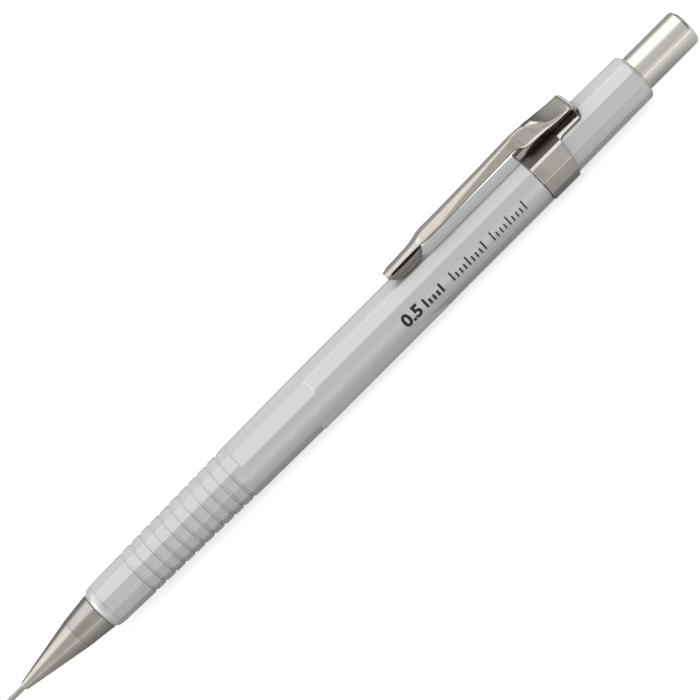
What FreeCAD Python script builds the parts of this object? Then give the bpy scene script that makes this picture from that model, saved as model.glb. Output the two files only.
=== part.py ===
import FreeCAD, Part
import math
import os

import Sketcher

# A 0.5 mm drafting pencil with a twelve-sided barrel, a sheet-metal pocket clip, a screwed
# front cone and a push cap.  Millimetres.  The origin is the mouth of the lead pipe on the
# pencil's axis, +X runs along the axis to the cap, and +Z points from the axis to the clip.

SIZES = {
    # Lead and the thin steel pipe that guides it
    "lead_radius": 0.28,
    "lead_length": 60,
    "lead_showing": 0.6,
    "lead_edge": 0.05,
    "spare_start": 45,
    "spare_offset": 1.0,
    "pipe_radius": 0.44,
    "pipe_bore": 0.31,
    "pipe_edge": 0.06,
    "pipe_root_radius": 0.7,
    "pipe_end": 7.2,
    "pipe_gap": 0.01,
    # Rubber bush that brakes the lead
    "retainer_start": 7.4,
    "retainer_length": 2,
    "retainer_radius": 0.85,
    "retainer_mouth": 0.43,
    "retainer_grip": 1,
    "slack": 0.02,
    # Front cone and its threaded shank
    "cone_start": 4,
    "cone_nose_radius": 0.71,
    "cone_nose_edge": 0.1,
    "cone_line": 15.2,
    "cone_line_radius": 2.735,
    "cone_line_width": 0.16,
    "cone_line_depth": 0.06,
    "cone_end": 19.9,
    "cone_end_radius": 3.27,
    "cone_chamber_start": 9.9,
    "cone_chamber_radius": 1.45,
    "ring_stop": 13.6,
    "ring_chamber_radius": 1.82,
    "bush_chamber_start": 16.6,
    "bush_chamber_radius": 2.25,
    "shank_end": 25.5,
    "shank_root_radius": 2.5,
    "shank_crest_radius": 2.78,
    "thread_pitch": 0.75,
    "thread_start": 20.5,
    "thread_turns": 6,
    # Barrel
    "collar_radius": 3.34,
    "facet_start": 21.6,
    "facet_start_radius": 3.78,
    "grip_radius": 3.965,
    "grip_growth": 0.0386,
    "grip_end": 50.5,
    "grip_end_radius": 4.45,
    "body_start": 66,
    "body_radius": 4.6,
    "shoulder": 111,
    "neck_radius": 4.3,
    "barrel_end": 132.75,
    "barrel_end_radius": 4.12,
    "end_chamfer": 0.8,
    "front_bore": 2.85,
    "bush_seat": 26.5,
    "middle_bore": 2.3,
    "top_bore_start": 113,
    "top_bore": 3.2,
    # Grooves of the grip, their floors faceted like the barrel; the grip grows by
    # grip_growth in radius from each groove to the next
    "groove_count": 11,
    "groove_first": 27.92,
    "groove_pitch": 2.007,
    "groove_width": 0.56,
    "groove_wall": 0.05,
    "groove_depth": 0.18,
    # Smooth rounded side for the size mark, recessed panel and stuck-on label
    "panel_start": 50.1,
    "panel_length": 15.6,
    "panel_depth": 0.15,
    "panel_front_radius": 4.45,
    "label_start": 62.7,
    "label_length": 28.3,
    "label_gap": 0.005,
    "label_thickness": 0.06,
    # Chuck, clutch ring and guide bush
    "chuck_start": 14,
    "chuck_nose_radius": 0.95,
    "chuck_head_radius": 1.18,
    "chuck_head_full": 14.4,
    "chuck_head_end": 16.5,
    "chuck_head_step": 0.06,
    "chuck_head_slope": 0.3,
    "chuck_neck_radius": 0.85,
    "chuck_bore": 0.3,
    "slit_root": 21.5,
    "root_gap": 0.05,
    "jaw_angle": 110,
    "chuck_end": 37,
    "ring_start": 14.4,
    "ring_radius": 1.75,
    "ring_edge": 0.12,
    "ring_mouth_radius": 1.24,
    "ring_throat_radius": 0.96,
    "bush_radius": 2.2,
    "bush_flange_radius": 2.8,
    "bush_throat_radius": 1.05,
    "spring_seat": 19,
    "spring_pocket_radius": 1.75,
    "bush_end": 38,
    # Return spring
    "wire_radius": 0.15,
    "spring_radius": 1.35,
    "spring_turns": 12,
    "spring_gap": 0.01,
    # Connector and lead reservoir
    "connector_start": 33,
    "connector_radius": 1.55,
    "channel_radius": 0.38,
    "channel_length": 1,
    "funnel_radius": 0.7,
    "reservoir_start": 40,
    "reservoir_radius": 1.65,
    "reservoir_bore": 1.3,
    "spigot_end": 44,
    "head_start": 118,
    "head_radius": 2.65,
    "head_slope": 0.5,
    "head_end": 131,
    "plug_seat": 126,
    "plug_bore": 2,
    "bead_radius": 2.73,
    "bead_slope": 0.4,
    "bead_flat": 0.8,
    # Push cap, eraser in its ferrule, clean-out pin
    "cap_start": 124,
    "cap_end": 143.2,
    "cap_radius": 3.12,
    "cap_hidden_radius": 2.95,
    "cap_step": 132.8,
    "cap_lip": 0.1,
    "cap_bore": 2.75,
    "cap_top": 0.4,
    "cap_edge": 0.8,
    "cap_edge_bend": 0.23,
    "plug_radius": 1.97,
    "plug_gap": 0.1,
    "ferrule_radius": 2.45,
    "ferrule_floor": 0.6,
    "ferrule_end": 137,
    "eraser_radius": 2.3,
    "eraser_end": 142,
    "eraser_edge": 0.3,
    "pin_start": 100,
    "pin_radius": 0.2,
    "pin_seat": 3,
    # Pocket clip of folded sheet: band, leg, bend, roof, arm and foot
    "sheet": 0.4,
    "band_start": 111.2,
    "band_middle": 116.95,
    "band_slant": 0.7,
    "band_spare": 0.5,
    "band_radius": 4.72,
    "band_bore": 4.32,
    "leg_start": 116.5,
    "clip_split": 121,
    "clip_split_gap": 0.08,
    "bend_start": 121.57,
    "bend_height": 5.15,
    "bend_radius": 0.96,
    "roof_half_width": 2.45,
    "foot_start": 85.15,
    "foot_length": 6.8,
    "foot_bottom": 4.46,
    "foot_top": 6.6,
    "foot_half_width": 1.5,
    "web_half_width": 0.7,
    "web_length": 5,
    "web_bottom": 6.4,
    "web_top": 6.85,
}

# Upper side of the clip's arm and roof: x, then half-width and height of the sheet's edge,
# of the bend in its side and of its crest
ARM_STATIONS = (
    (85.0, 1.00, 6.93, 0.93, 6.97, 0.70, 6.99),
    (90.5, 1.05, 7.10, 0.97, 7.16, 0.66, 7.25),
    (91.7, 1.15, 7.12, 1.05, 7.25, 0.60, 7.42),
    (92.9, 1.40, 7.12, 1.12, 7.50, 0.52, 7.86),
    (99.0, 1.46, 7.08, 1.12, 7.58, 0.48, 8.02),
    (106.0, 1.42, 7.10, 0.77, 7.98, 0.46, 8.18),
    (112.2, 1.42, 7.10, 0.60, 8.36, 0.42, 8.48),
    (113.2, 2.25, 6.68, 2.05, 6.78, 0.38, 8.53),
    (114.8, 2.42, 6.58, 2.20, 6.66, 0.42, 8.32),
    (116.7, 2.45, 6.47, 2.22, 6.55, 1.45, 7.36),
    (118.6, 2.45, 6.27, 2.30, 6.34, 2.15, 6.62),
    (121.57, 2.45, 6.11, 2.38, 6.11, 2.30, 6.11),
)
# Half of the foot's widest cross-section, rim to keel, as shares of its width and depth, and
# how far along the foot its width and depth change
FOOT_PROFILE = ((0.8, 0), (0.98, 0.12), (0.97, 0.5), (0.72, 0.94), (0.45, 1))
FOOT_STATIONS = (
    (0, 0.60, 0.16), (0.125, 0.92, 0.74), (0.42, 1, 1), (0.6, 1, 1), (0.73, 0.98, 0.95),
    (0.9, 0.85, 0.58), (1, 0.58, 0.14),
)

SIDES = 12
HALF_FACET = 180 / SIDES
# Directions round the barrel, in degrees from +Z towards -Y
ROUND_SIDE_MIDDLE = 5 * HALF_FACET
LABEL_CORNERS = (7 * HALF_FACET, 9 * HALF_FACET, 11 * HALF_FACET)
JAW_DIRECTIONS = (0, 120, 240)
SPARE_DIRECTIONS = (140, 180, 220)
ALONG_X = FreeCAD.Rotation(FreeCAD.Vector(0, 1, 0), 90)
X_AXIS = FreeCAD.Vector(1, 0, 0)

os.makedirs("parts", exist_ok=True)
doc = FreeCAD.newDocument("DraftingPencil")

sheet = doc.addObject("Spreadsheet::Sheet", "Sizes")
for row, (alias, number) in enumerate(SIZES.items(), start=1):
    sheet.set(f"A{row}", alias)
    sheet.set(f"B{row}", str(number))
    sheet.setAlias(f"B{row}", alias)
doc.recompute()


def value(formula):
    """Work out a sum of sizes, numbers and products, such as 'cone_end + 3 * thread_pitch'."""
    total = 0.0
    for term in formula.replace(" - ", " + -").split(" + "):
        product = -1.0 if term.startswith("-") else 1.0
        for word in term.lstrip("-").split(" * "):
            product *= sheet.get(word) if word in SIZES else float(word)
        total += product
    return total


def bound(formula):
    """The same sum, written as a document expression on the sheet's cells."""
    return " ".join(f"Sizes.{word}" if word in SIZES else word for word in formula.split())


def origin_plane(body, role):
    return next(item for item in body.Origin.OriginFeatures if item.Role == role)


def turned(label, profile, angle=None, direction=0):
    """Turn a closed profile of (x, radius) sums about the pencil's axis.

    A piece with an angle is a sector of that many degrees, its middle 'direction' degrees
    round from +Z.
    """
    body = doc.addObject("PartDesign::Body", label)
    sketch = body.newObject("Sketcher::SketchObject", label + "_profile")
    sketch.AttachmentSupport = [(origin_plane(body, "XZ_Plane"), "")]
    sketch.MapMode = "FlatFace"
    corners = [FreeCAD.Vector(value(x), value(radius), 0) for x, radius in profile]
    for corner, following in zip(corners, corners[1:] + corners[:1]):
        sketch.addGeometry(Part.LineSegment(corner, following))
    for index, formulas in enumerate(profile):
        following = (index + 1) % len(profile)
        sketch.addConstraint(Sketcher.Constraint("Coincident", index, 2, following, 1))
        for kind, axis, formula in zip(("DistanceX", "DistanceY"), (-2, -1), formulas):
            if value(formula) == 0:
                sketch.addConstraint(Sketcher.Constraint("PointOnObject", index, 1, axis))
                continue
            rule = Sketcher.Constraint(kind, -1, 1, index, 1, value(formula))
            number = sketch.addConstraint(rule)
            name = f"{kind}_{index}"
            sketch.renameConstraint(number, name)
            sketch.setExpression("Constraints." + name, bound(formula))
    revolution = body.newObject("PartDesign::Revolution", label + "_turned")
    revolution.Profile = sketch
    revolution.ReferenceAxis = (sketch, ["H_Axis"])
    revolution.Angle = 360
    if angle is not None:
        revolution.Midplane = True
        revolution.setExpression("Angle", bound(angle))
    body.Placement = FreeCAD.Placement(FreeCAD.Vector(), FreeCAD.Rotation(X_AXIS, direction))
    return body


def primitive(kind, name, turn=ALONG_X, **sizes):
    """Add a Part primitive whose sizes, and whose start along X, follow the sheet."""
    item = doc.addObject("Part::" + kind, name)
    item.Placement = FreeCAD.Placement(FreeCAD.Vector(), turn)
    for prop, formula in sizes.items():
        item.setExpression("Placement.Base.x" if prop == "start" else prop, bound(formula))
    return item


def faceted(name, stations):
    """Loft twelve-sided outlines, each an (x, circumradius) pair of sums."""
    turn = FreeCAD.Rotation(X_AXIS, HALF_FACET) * ALONG_X
    outlines = []
    for index, (start, radius) in enumerate(stations):
        outline = primitive("RegularPolygon", f"{name}_outline_{index}", turn,
                            start=start, Circumradius=radius)
        outline.Polygon = SIDES
        outlines.append(outline)
    loft = doc.addObject("Part::Loft", name)
    loft.Sections = outlines
    loft.Solid = True
    loft.Ruled = True
    return loft


def joined(name, *pieces):
    fuse = doc.addObject("Part::MultiFuse", name)
    fuse.Shapes = list(pieces)
    return fuse


def cut(name, base, tool):
    item = doc.addObject("Part::Cut", name)
    item.Base = base
    item.Tool = tool
    return item


def solid(label, shape):
    """A piece whose shape is worked out here from the sheet's sizes."""
    item = doc.addObject("Part::Feature", label)
    item.Shape = shape
    item.Placement = FreeCAD.Placement()
    return item


# ---- Lead pipe, rubber retainer and front cone -------------------------------------------

def make_front_end():
    lead_pipe = turned("lead_pipe", [
        ("0", "pipe_bore"), ("0", "pipe_radius - pipe_edge"), ("pipe_edge", "pipe_radius"),
        ("cone_start", "pipe_radius"), ("pipe_end", "pipe_root_radius"),
        ("pipe_end", "pipe_bore"),
    ])
    back = "retainer_start + retainer_length"
    lead_retainer = turned("lead_retainer", [
        ("retainer_start", "lead_radius + slack"), ("retainer_start", "retainer_radius - slack"),
        (back, "retainer_radius - slack"), (back, "retainer_mouth"),
        ("retainer_start + retainer_grip", "lead_radius + slack"),
    ])
    front_cone = turned("front_cone", [
        ("cone_start", "pipe_radius + pipe_gap"),
        ("cone_start", "cone_nose_radius - cone_nose_edge"),
        ("cone_start + cone_nose_edge", "cone_nose_radius"),
        ("cone_line", "cone_line_radius"),
        ("cone_line", "cone_line_radius - cone_line_depth"),
        ("cone_line + cone_line_width", "cone_line_radius - cone_line_depth"),
        ("cone_line + cone_line_width", "cone_line_radius"),
        ("cone_end", "cone_end_radius"),
        ("cone_end", "shank_root_radius"),
        *thread_ridges(),
        ("shank_end", "shank_root_radius"),
        ("shank_end", "bush_chamber_radius"),
        ("bush_chamber_start", "bush_chamber_radius"),
        ("bush_chamber_start", "ring_chamber_radius"),
        ("ring_stop", "ring_chamber_radius"),
        ("ring_stop", "cone_chamber_radius"),
        ("cone_chamber_start", "cone_chamber_radius"),
        ("cone_chamber_start", "retainer_radius"),
        ("retainer_start", "retainer_radius"),
        ("retainer_start", "pipe_root_radius + pipe_gap"),
        ("pipe_end", "pipe_root_radius + pipe_gap"),
    ])
    return [lead_pipe, lead_retainer, front_cone]


def thread_ridges():
    """Profile points of the male thread: one V ridge for each turn, one pitch apart."""
    points = []
    for turn in range(SIZES["thread_turns"]):
        foot = f"thread_start + {turn} * thread_pitch"
        points.append((foot, "shank_root_radius"))
        points.append((foot + " + 0.5 * thread_pitch", "shank_crest_radius"))
    points.append((f"thread_start + {SIZES['thread_turns']} * thread_pitch",
                   "shank_root_radius"))
    return points


# ---- Barrel ------------------------------------------------------------------------------

def make_barrel():
    collar = primitive("Cone", "barrel_collar", start="cone_end", Radius1="collar_radius",
                       Radius2="facet_start_radius", Height="facet_start - cone_end")
    grip_and_body = faceted("barrel_lower", [
        ("facet_start", "facet_start_radius"), *groove_stations(),
        ("grip_end", "grip_end_radius"), ("body_start", "body_radius"),
        ("shoulder", "body_radius"),
    ])
    neck = faceted("barrel_upper", [
        ("shoulder", "neck_radius"), ("barrel_end - end_chamfer", "barrel_end_radius"),
        ("barrel_end", "barrel_end_radius - end_chamfer"),
    ])
    round_side = primitive("Cylinder", "barrel_round_side",
                           FreeCAD.Rotation(X_AXIS, ROUND_SIDE_MIDDLE + 2 * HALF_FACET) * ALONG_X,
                           start="body_start", Radius="body_radius",
                           Height="shoulder - body_start")
    round_side.Angle = 4 * HALF_FACET
    outside = joined("barrel_outside", collar, grip_and_body, neck, round_side)
    bore = turned("barrel_bore", [
        ("cone_end - 1", "0"), ("cone_end - 1", "front_bore"), ("bush_seat", "front_bore"),
        ("bush_seat", "middle_bore"), ("top_bore_start", "middle_bore"),
        ("top_bore_start", "top_bore"), ("barrel_end + 1", "top_bore"), ("barrel_end + 1", "0"),
    ])
    hollow = cut("barrel_hollow", outside, bore)
    return cut("barrel", hollow, joined("panel_cutters", *make_panel_cutters()))


def groove_stations():
    """Outlines at the top and floor of both walls of each groove, tip end first."""
    stations = []
    for index in range(SIZES["groove_count"]):
        start = f"groove_first + {index} * groove_pitch"
        top = f"grip_radius + {index} * grip_growth"
        floor = top + " - groove_depth"
        stations.append((start, top))
        stations.append((start + " + groove_wall", floor))
        stations.append((start + " + groove_width - groove_wall", floor))
        stations.append((start + " + groove_width", top))
    return stations


def make_panel_cutters():
    """Two flat cutters, one for each facet of the recessed panel behind the grip."""
    half = math.radians(HALF_FACET)
    width = value("body_radius")
    front = value("panel_front_radius") * math.cos(half)
    back = value("body_radius") * math.cos(half)
    tilt = math.degrees(math.atan2(back - front, value("panel_length")))
    cutters = []
    for index, direction in enumerate((0, 2 * HALF_FACET)):
        box = doc.addObject("Part::Box", f"panel_cutter_{index}")
        box.setExpression("Length", bound("panel_length"))
        box.setExpression("Width", bound("body_radius"))
        floor = front - value("panel_depth")
        lifted = FreeCAD.Placement(FreeCAD.Vector(value("panel_start"), -width / 2, floor),
                                   FreeCAD.Rotation(FreeCAD.Vector(0, 1, 0), -tilt))
        swung = FreeCAD.Placement(FreeCAD.Vector(), FreeCAD.Rotation(X_AXIS, direction))
        box.Placement = swung.multiply(lifted)
        cutters.append(box)
    return cutters


def make_label():
    """A thin blank label over the two facets next to the bottom one."""
    inner = value("body_radius + label_gap")
    outer = inner + value("label_thickness")
    corners = [(inner, degrees) for degrees in LABEL_CORNERS]
    corners += [(outer, degrees) for degrees in reversed(LABEL_CORNERS)]
    points = []
    for radius, degrees in corners:
        angle = math.radians(degrees)
        points.append(FreeCAD.Vector(value("label_start"), -radius * math.sin(angle),
                                     radius * math.cos(angle)))
    face = Part.Face(Part.makePolygon(points + points[:1]))
    return solid("blank_label", face.extrude(FreeCAD.Vector(value("label_length"), 0, 0)))


# ---- Clutch: three jaws, clutch ring, guide bush and spring ------------------------------

def make_clutch():
    pieces = []
    for index, direction in enumerate(JAW_DIRECTIONS, start=1):
        pieces.append(turned(f"chuck_jaw_{index}", [
            ("chuck_start", "chuck_bore"), ("chuck_start", "chuck_nose_radius"),
            ("chuck_head_full", "chuck_head_radius"),
            ("chuck_head_end", "chuck_neck_radius + chuck_head_step"),
            ("chuck_head_end + chuck_head_slope", "chuck_neck_radius"),
            ("slit_root - root_gap", "chuck_neck_radius"),
            ("slit_root - root_gap", "chuck_bore"),
        ], angle="jaw_angle", direction=direction))
    pieces.append(turned("chuck_body", [
        ("slit_root", "chuck_bore + slack"), ("slit_root", "chuck_neck_radius"),
        ("chuck_end", "chuck_neck_radius"), ("chuck_end", "chuck_bore + slack"),
    ]))
    pieces.append(turned("clutch_ring", [
        ("ring_start", "ring_mouth_radius"), ("ring_start", "ring_radius - ring_edge"),
        ("ring_start + ring_edge", "ring_radius"),
        ("bush_chamber_start - ring_edge", "ring_radius"),
        ("bush_chamber_start", "ring_radius - ring_edge"),
        ("bush_chamber_start", "ring_throat_radius"),
    ]))
    pieces.append(turned("guide_bush", [
        ("bush_chamber_start", "bush_throat_radius"), ("bush_chamber_start", "bush_radius"),
        ("shank_end", "bush_radius"), ("shank_end", "bush_flange_radius"),
        ("bush_seat", "bush_flange_radius"), ("bush_seat", "bush_radius"),
        ("bush_end", "bush_radius"), ("bush_end", "spring_pocket_radius"),
        ("spring_seat", "spring_pocket_radius"), ("spring_seat", "bush_throat_radius"),
    ]))
    pieces.append(make_spring())
    return pieces


def make_spring():
    """The return spring, round wire on a helix between the bush and the connector."""
    gap = value("wire_radius + spring_gap")
    length = value("connector_start") - value("spring_seat") - 2 * gap
    path = primitive("Helix", "spring_path", start="spring_seat + wire_radius + spring_gap",
                     Radius="spring_radius")
    path.Pitch = length / value("spring_turns")
    path.Height = length
    wire = doc.addObject("Part::Circle", "spring_wire")
    wire.setExpression("Radius", bound("wire_radius"))
    place = FreeCAD.Vector(value("spring_seat") + gap, 0, -value("spring_radius"))
    wire.Placement = FreeCAD.Placement(place, FreeCAD.Rotation(X_AXIS, 90))
    spring = doc.addObject("Part::Sweep", "return_spring")
    spring.Sections = [wire]
    spring.Spine = (path, ["Edge1"])
    spring.Solid = True
    spring.Frenet = True
    return spring


# ---- Connector, reservoir, cap, eraser and leads -----------------------------------------

def make_push_train():
    connector = turned("chuck_connector", [
        ("connector_start", "chuck_neck_radius"), ("connector_start", "connector_radius"),
        ("reservoir_start", "connector_radius"), ("reservoir_start", "reservoir_bore"),
        ("spigot_end", "reservoir_bore"), ("spigot_end", "funnel_radius"),
        ("chuck_end + channel_length", "channel_radius"), ("chuck_end", "channel_radius"),
        ("chuck_end", "chuck_neck_radius"),
    ])
    reservoir = turned("lead_reservoir", [
        ("reservoir_start", "reservoir_bore"), ("reservoir_start", "reservoir_radius"),
        ("head_start", "reservoir_radius"), ("head_start + head_slope", "head_radius"),
        ("plug_seat", "head_radius"), ("plug_seat + bead_slope", "bead_radius"),
        ("plug_seat + bead_slope + bead_flat", "bead_radius"),
        ("plug_seat + 2 * bead_slope + bead_flat", "head_radius"),
        ("head_end", "head_radius"), ("head_end", "plug_bore"), ("plug_seat", "plug_bore"),
        ("plug_seat", "reservoir_bore"),
    ])
    push_cap = turned("push_cap", [
        ("cap_start", "cap_bore"), ("cap_start", "cap_hidden_radius - cap_lip"),
        ("cap_start + cap_lip", "cap_hidden_radius"), ("cap_step", "cap_hidden_radius"),
        ("cap_step", "cap_radius"), ("cap_end - cap_edge", "cap_radius"),
        ("cap_end - cap_edge_bend", "cap_radius - cap_edge_bend"),
        ("cap_end", "cap_radius - cap_edge"), ("cap_end", "0"), ("cap_end - cap_top", "0"),
        ("cap_end - cap_top", "cap_bore - cap_edge_bend"),
        ("cap_end - cap_top - cap_edge_bend", "cap_bore"),
    ])
    return [connector, reservoir, push_cap]


def make_eraser_unit():
    ferrule = turned("eraser_ferrule", [
        ("plug_seat + plug_gap", "pin_radius"), ("plug_seat + plug_gap", "plug_radius"),
        ("head_end", "plug_radius"), ("head_end", "ferrule_radius"),
        ("ferrule_end", "ferrule_radius"), ("ferrule_end", "eraser_radius"),
        ("head_end + ferrule_floor", "eraser_radius"), ("head_end + ferrule_floor", "0"),
        ("plug_seat + pin_seat", "0"), ("plug_seat + pin_seat", "pin_radius"),
    ])
    eraser = turned("eraser", [
        ("head_end + ferrule_floor", "0"), ("head_end + ferrule_floor", "eraser_radius"),
        ("eraser_end - eraser_edge", "eraser_radius"),
        ("eraser_end", "eraser_radius - eraser_edge"),
        ("eraser_end", "0"),
    ])
    pin = turned("cleanout_pin", [
        ("pin_start", "0"), ("pin_start", "pin_radius"),
        ("plug_seat + pin_seat", "pin_radius"), ("plug_seat + pin_seat", "0"),
    ])
    return [ferrule, eraser, pin]


def make_leads():
    lead = turned("lead", [
        ("0 - lead_showing", "0"), ("0 - lead_showing", "lead_radius - lead_edge"),
        ("lead_edge - lead_showing", "lead_radius"),
        ("lead_length - lead_showing", "lead_radius"), ("lead_length - lead_showing", "0"),
    ])
    spares = []
    for index, direction in enumerate(SPARE_DIRECTIONS):
        angle = math.radians(direction)
        spare = primitive("Cylinder", f"spare_lead_{index}", start="spare_start",
                          Radius="lead_radius", Height="lead_length")
        spare.setExpression("Placement.Base.y", f"Sizes.spare_offset * {math.sin(angle):.6f}")
        spare.setExpression("Placement.Base.z", f"Sizes.spare_offset * {math.cos(angle):.6f}")
        spares.append(spare)
    group = doc.addObject("Part::Compound", "spare_leads")
    group.Links = spares
    return [lead, group]


# ---- Pocket clip -------------------------------------------------------------------------

def make_clip_band():
    """Twelve-sided band with a slanted rear edge, and the leg that leads to the bend."""
    rear = "band_middle + band_slant + band_spare"
    outer = faceted("band_outer", [("band_start", "band_radius"), (rear, "band_radius")])
    inner = faceted("band_inner", [("band_start - 1", "band_bore"), (rear + " + 1", "band_bore")])
    ring = cut("band_ring", outer, inner)
    trimmer = doc.addObject("Part::Box", "band_trimmer")
    for side in ("Length", "Width", "Height"):
        trimmer.setExpression(side, bound("4 * band_radius"))
    reach = 2 * value("band_radius")
    slant = math.degrees(math.atan2(value("band_slant"), value("band_radius")))
    centre = FreeCAD.Placement(FreeCAD.Vector(0, -reach, -reach), FreeCAD.Rotation())
    lean = FreeCAD.Placement(FreeCAD.Vector(value("band_middle"), 0, 0),
                             FreeCAD.Rotation(FreeCAD.Vector(0, 1, 0), slant))
    trimmer.Placement = lean.multiply(centre)
    trimmed = cut("band_trimmed", ring, trimmer)
    leg = doc.addObject("Part::Box", "band_leg")
    leg.setExpression("Length", bound("clip_split - clip_split_gap - leg_start"))
    leg.setExpression("Width", bound("2 * roof_half_width"))
    leg.setExpression("Height", bound("sheet"))
    leg.setExpression("Placement.Base.x", bound("leg_start"))
    leg.setExpression("Placement.Base.y", "-Sizes.roof_half_width")
    leg.setExpression("Placement.Base.z", bound("bend_height - bend_radius"))
    return joined("clip_band", trimmed, leg)


def mirrored_outline(x, half):
    """A closed outline at x through (half-width, height) corners and their mirror images."""
    corners = list(half) + [(-y, z) for y, z in reversed(half)]
    points = [FreeCAD.Vector(x, y, z) for y, z in corners]
    return Part.makePolygon(points + points[:1])


def arm_outline(x, edge_half, edge, side_half, side, crest_half, crest):
    """One cross-section of the arm: a channel of sheet, open below."""
    thick = value("sheet")
    outer = [(edge_half, edge), (side_half, side), (crest_half, crest)]
    inner = [(y, z - thick) for y, z in reversed(outer)]
    points = [FreeCAD.Vector(x, y, z) for y, z in outer]
    points += [FreeCAD.Vector(x, -y, z) for y, z in reversed(outer)]
    points += [FreeCAD.Vector(x, -y, z) for y, z in reversed(inner)]
    points += [FreeCAD.Vector(x, y, z) for y, z in inner]
    return Part.makePolygon(points + points[:1])


def make_clip_arm():
    """Arm with a raised rib, broad roof, bend down to the leg, and the foot on the barrel."""
    arm = Part.makeLoft([arm_outline(*station) for station in ARM_STATIONS], True, True)
    web = Part.makeBox(value("web_length"), value("2 * web_half_width"),
                       value("web_top - web_bottom"),
                       FreeCAD.Vector(value("foot_start"), value("-web_half_width"),
                                      value("web_bottom")))
    return solid("clip_arm", arm.fuse([make_bend(), make_foot(), web]))


def make_bend():
    """The sheet turned down through half a circle, and the short leg before the split."""
    half = value("roof_half_width")
    arcs = [bend_arc(value("bend_radius"), half), bend_arc(value("bend_radius - sheet"), half)]
    legs = [value("bend_height - bend_radius"), value("bend_height - bend_radius + sheet")]
    split = [FreeCAD.Vector(value("clip_split"), -half, z) for z in legs]
    start = [FreeCAD.Vector(value("bend_start"), -half, z) for z in legs]
    roof = [arc.Vertexes[0].Point for arc in arcs]
    sides = [Part.makeLine(start[0], split[0]), Part.makeLine(split[0], split[1]),
             Part.makeLine(split[1], start[1]), Part.makeLine(roof[0], roof[1])]
    outline = Part.Wire(Part.__sortEdges__(arcs + sides))
    return Part.Face(outline).extrude(FreeCAD.Vector(0, 2 * half, 0))


def bend_arc(radius, half):
    x = value("bend_start")
    z = value("bend_height")
    return Part.Arc(FreeCAD.Vector(x, -half, z + radius), FreeCAD.Vector(x + radius, -half, z),
                    FreeCAD.Vector(x, -half, z - radius)).toShape()


def make_foot():
    """The boat-shaped foot below the arm's front end, its keel touching the barrel."""
    top = value("foot_top")
    depth = top - value("foot_bottom")
    outlines = []
    for share, wide, deep in FOOT_STATIONS:
        x = value("foot_start") + share * value("foot_length")
        half = [(y * wide * value("foot_half_width"), top - z * deep * depth)
                for y, z in FOOT_PROFILE]
        outlines.append(mirrored_outline(x, half))
    return Part.makeLoft(outlines, True, True)


# ---- Build, check and write --------------------------------------------------------------

pieces = make_front_end() + [make_barrel(), make_label()] + make_clutch()
pieces += make_push_train() + make_eraser_unit() + make_leads()
pieces += [make_clip_band(), make_clip_arm()]
doc.recompute()

for item in doc.Objects:
    if "Invalid" in item.State or "Error" in item.State:
        raise RuntimeError(f"{item.Label} failed: {item.State}")
for piece in pieces:
    if piece.Shape.isNull() or not piece.Shape.isValid():
        raise RuntimeError(f"{piece.Label} has no valid shape")
    piece.Shape.exportStep(f"parts/{piece.Label}.step")
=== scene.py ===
import math

import bmesh
import bpy
from mathutils import Matrix, Vector


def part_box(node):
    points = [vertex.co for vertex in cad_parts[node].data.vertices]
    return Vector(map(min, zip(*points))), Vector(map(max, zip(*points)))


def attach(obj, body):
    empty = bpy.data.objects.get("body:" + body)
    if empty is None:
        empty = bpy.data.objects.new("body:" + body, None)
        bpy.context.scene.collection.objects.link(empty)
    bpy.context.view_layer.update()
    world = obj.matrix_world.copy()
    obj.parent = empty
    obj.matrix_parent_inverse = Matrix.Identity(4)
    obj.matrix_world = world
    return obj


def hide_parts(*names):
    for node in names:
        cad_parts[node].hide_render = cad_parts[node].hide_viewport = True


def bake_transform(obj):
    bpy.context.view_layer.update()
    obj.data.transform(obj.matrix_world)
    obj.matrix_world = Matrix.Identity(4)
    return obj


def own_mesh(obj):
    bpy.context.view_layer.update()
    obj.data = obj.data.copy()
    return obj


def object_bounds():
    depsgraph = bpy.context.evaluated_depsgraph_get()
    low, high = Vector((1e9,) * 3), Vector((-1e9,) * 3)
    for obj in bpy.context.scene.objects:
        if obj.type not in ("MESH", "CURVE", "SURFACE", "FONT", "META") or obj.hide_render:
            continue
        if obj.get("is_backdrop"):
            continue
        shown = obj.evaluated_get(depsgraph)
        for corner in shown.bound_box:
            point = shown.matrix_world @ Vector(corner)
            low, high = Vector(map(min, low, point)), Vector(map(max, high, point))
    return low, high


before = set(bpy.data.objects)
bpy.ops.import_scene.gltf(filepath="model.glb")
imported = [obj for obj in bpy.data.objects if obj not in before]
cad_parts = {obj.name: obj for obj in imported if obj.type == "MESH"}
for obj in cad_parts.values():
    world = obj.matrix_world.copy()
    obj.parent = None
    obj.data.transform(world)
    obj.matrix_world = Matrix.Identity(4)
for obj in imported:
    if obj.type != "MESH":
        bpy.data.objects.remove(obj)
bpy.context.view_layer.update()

MM = 0.001
SIDES = 12
FACET = 360 / SIDES
HALF_FACET = FACET / 2


def span(node):
    """The first and last x of a CAD node, in millimetres."""
    low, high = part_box(node)
    return low[0] / MM, high[0] / MM


def reach(node):
    """The largest distance of a round CAD node's side from the pencil's axis, in millimetres."""
    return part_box(node)[1][1] / MM


# ---- Mesh helpers: sizes are in millimetres until a piece becomes an object ---------------

def lerp(a, b, share):
    return a + (b - a) * share


def smooth_share(low, high, value):
    """0 below low, 1 above high, with a soft start and end between them."""
    share = min(max((value - low) / (high - low), 0), 1)
    return share * share * (3 - 2 * share)


def soft_min(a, b, width):
    """The smaller of two values, with the corner between them rounded over width."""
    overlap = max(width - abs(a - b), 0) / width
    return min(a, b) - overlap * overlap * width / 4


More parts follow.
